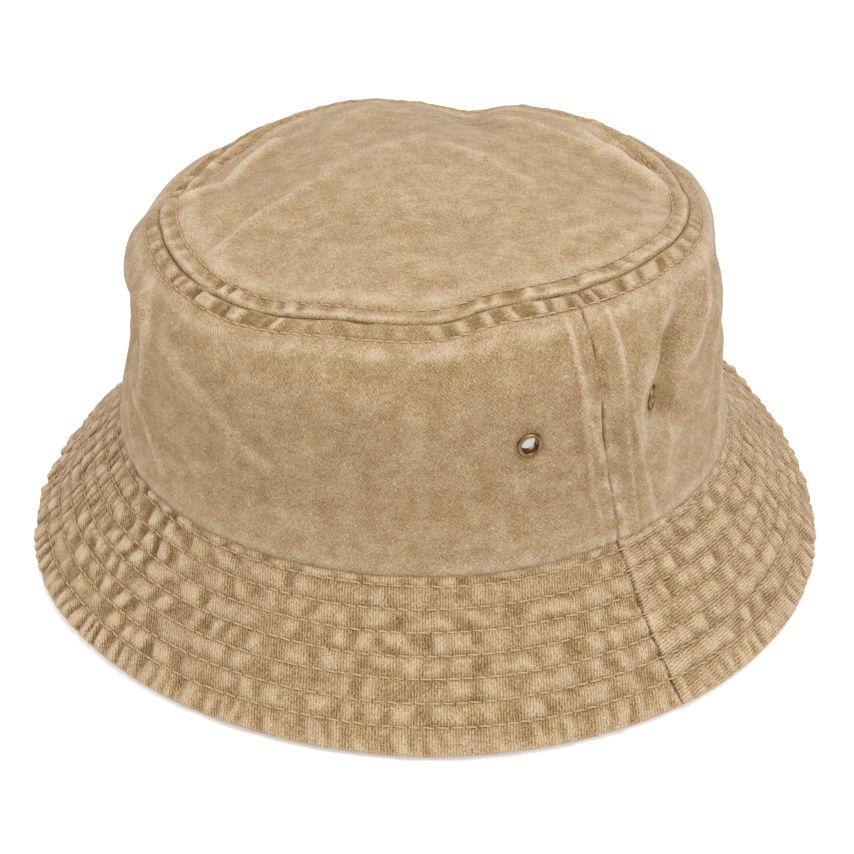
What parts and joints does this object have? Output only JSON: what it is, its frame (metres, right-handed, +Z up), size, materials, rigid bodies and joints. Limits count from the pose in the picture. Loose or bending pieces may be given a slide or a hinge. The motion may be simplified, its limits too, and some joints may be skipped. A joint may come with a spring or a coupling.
{
  "type": "bucket hat",
  "caption": "Cloth bucket hat with a round top, a two-panel side band with vent eyelets and a sloping brim with rows of stitching.",
  "frame": {"origin": "middle of the brim's rim, on the surface the hat stands on", "axes": "+Z up through the middle of the top; the front is -Y and the wearer's left is +X, with the side seams at +X and -X"},
  "size_m": [0.2478, 0.2478, 0.1157],
  "materials": {
    "crown_twill": "matte",
    "brim_twill": "matte",
    "lining_twill": "matte",
    "interlining": "matte",
    "sweatband_cloth": "matte",
    "seam_tape": "matte",
    "thread": "matte",
    "eyelet_brass": "satin"
  },
  "bodies": {
    "root": {"top_panel": "crown_twill", "side_panel_front": "crown_twill", "side_panel_back": "crown_twill", "brim_upper_front": "brim_twill", "brim_upper_back": "brim_twill", "brim_under_front": "lining_twill", "brim_under_back": "lining_twill", "brim_interlining_front": "interlining", "brim_interlining_back": "interlining", "sweatband": "sweatband_cloth", "crown_seam_tape": "seam_tape", "eyelet_left_front": "eyelet_brass", "eyelet_washer_left_front": "eyelet_brass", "eyelet_left_back": "eyelet_brass", "eyelet_washer_left_back": "eyelet_brass", "eyelet_right_front": "eyelet_brass", "eyelet_washer_right_front": "eyelet_brass", "eyelet_right_back": "eyelet_brass", "eyelet_washer_right_back": "eyelet_brass", "crown_stitch_upper": "thread", "crown_stitch_lower": "thread", "sweatband_stitch": "thread", "brim_stitch_row_1": "thread", "brim_stitch_row_2": "thread", "brim_stitch_row_3": "thread", "brim_stitch_row_4": "thread", "brim_stitch_row_5": "thread", "brim_stitch_row_6": "thread", "brim_stitch_row_7": "thread"}
  },
  "joints": []
}
